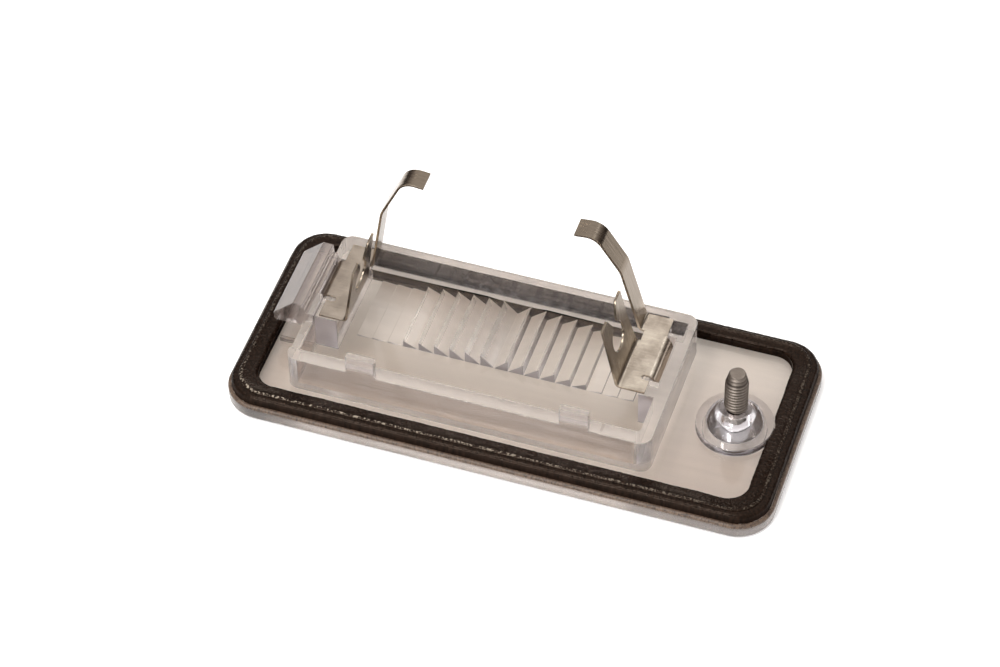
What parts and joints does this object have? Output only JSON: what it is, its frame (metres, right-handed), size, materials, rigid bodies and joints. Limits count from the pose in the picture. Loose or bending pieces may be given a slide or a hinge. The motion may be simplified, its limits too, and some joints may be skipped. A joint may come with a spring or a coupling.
{
  "type": "number plate lamp",
  "caption": "Clear oblong number plate lamp seen from its inner side: prism bulb chamber with sprung bulb forks, rubber edge seal, snap hook and a captive fixing screw.",
  "frame": {"origin": "middle of the plate's flat outer face", "axes": "+X along the plate from the snap hook to the screw, +Z from the outer face up to the bulb chamber"},
  "size_m": [0.07, 0.0304, 0.024],
  "materials": {
    "clear_plastic": "clear moulded, polished",
    "sponge_rubber": "closed-cell sponge, slightly shiny skin",
    "spring_metal": "rolled spring strip, nickel plated",
    "screw_steel": "zinc plated, dull"
  },
  "bodies": {
    "root": {"lens_housing": "clear_plastic", "seal": "sponge_rubber", "contact_left": "spring_metal", "contact_right": "spring_metal", "fixing_screw": "screw_steel"}
  },
  "joints": []
}
